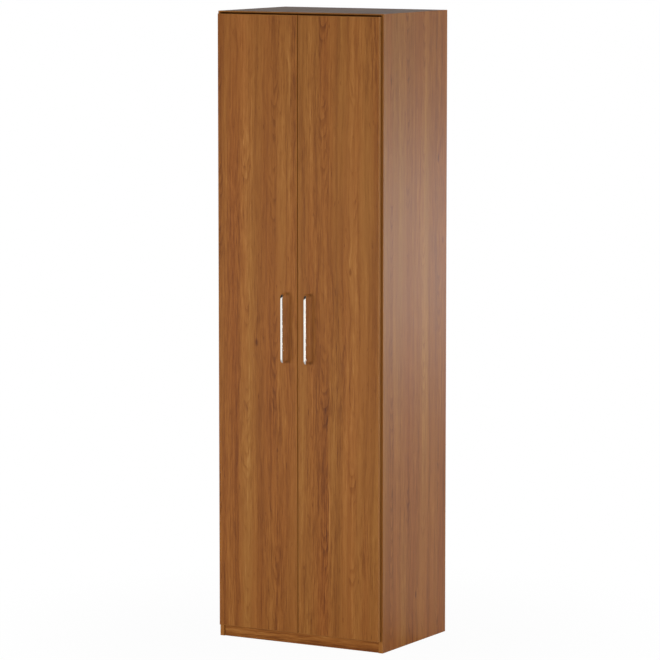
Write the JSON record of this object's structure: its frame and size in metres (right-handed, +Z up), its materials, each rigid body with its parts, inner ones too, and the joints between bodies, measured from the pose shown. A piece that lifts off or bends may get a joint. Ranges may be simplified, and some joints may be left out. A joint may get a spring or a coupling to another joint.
{
  "type": "two-door wardrobe",
  "caption": "Tall narrow wardrobe of brown wood-look laminated board with plain hinged doors, bow handles, a hat shelf, a hanging rail and a lower shelf.",
  "frame": {"origin": "on the floor, in the middle of the width and of the depth with the handles", "axes": "+X to the right seen from the front, +Y to the back, +Z up; the doors face -Y"},
  "size_m": [0.655, 0.5148, 2.2],
  "materials": {
    "wood_laminate": "satin laminate with brown wood figure",
    "wood_edging": "satin edge strip with matching wood figure",
    "hardboard": "matt pressed fibreboard",
    "polished_chrome": "polished",
    "nickel_steel": "nickel-plated pressed steel",
    "zinc_screw": "zinc-plated",
    "cast_zinc": "raw casting",
    "beech": "fluted, raw",
    "clear_rubber": "soft, translucent",
    "dark_seal": "soft, matt, dark brown"
  },
  "bodies": {
    "carcass": {"side_panel_left": "wood_laminate", "side_panel_right": "wood_laminate", "top_panel": "wood_laminate", "bottom_panel": "wood_laminate", "plinth_front": "wood_laminate", "plinth_rear": "wood_laminate", "hat_shelf": "wood_laminate", "lower_shelf": "wood_laminate", "carcass_edging": "wood_edging", "back_panel": "hardboard", "hanging_rail": "polished_chrome", "rail_holder_left": "polished_chrome", "rail_holder_right": "polished_chrome", "hinge_plates_left": "nickel_steel", "hinge_plates_right": "nickel_steel", "hinge_arms_left": "nickel_steel", "hinge_arms_right": "nickel_steel", "shelf_pins": "nickel_steel", "rail_holder_screws": "zinc_screw", "plate_screws_left": "zinc_screw", "plate_screws_right": "zinc_screw", "arm_screws_left": "zinc_screw", "arm_screws_right": "zinc_screw", "cam_bolts": "zinc_screw", "back_panel_nails": "zinc_screw", "cam_housings": "cast_zinc", "dowels": "beech", "door_bumpers": "clear_rubber", "dust_seal": "dark_seal"},
    "left_door": {"door_panel_left": "wood_laminate", "door_edging_left": "wood_edging", "hinge_cups_left": "nickel_steel", "hinge_pins_left": "nickel_steel", "cup_screws_left": "zinc_screw", "door_handle_left": "polished_chrome", "handle_screws_left": "zinc_screw"},
    "right_door": {"door_panel_right": "wood_laminate", "door_edging_right": "wood_edging", "hinge_cups_right": "nickel_steel", "hinge_pins_right": "nickel_steel", "cup_screws_right": "zinc_screw", "door_handle_right": "polished_chrome", "handle_screws_right": "zinc_screw"}
  },
  "joints": [
    {"name": "left_door_hinge", "type": "hinge", "parent": "carcass", "child": "left_door", "pos_m": [-0.3115, -0.2142, 1.116], "axis": [0, 0, -1], "range_deg": [0, 105]},
    {"name": "right_door_hinge", "type": "hinge", "parent": "carcass", "child": "right_door", "pos_m": [0.3115, -0.2142, 1.116], "axis": [0, 0, 1], "range_deg": [0, 105]}
  ]
}
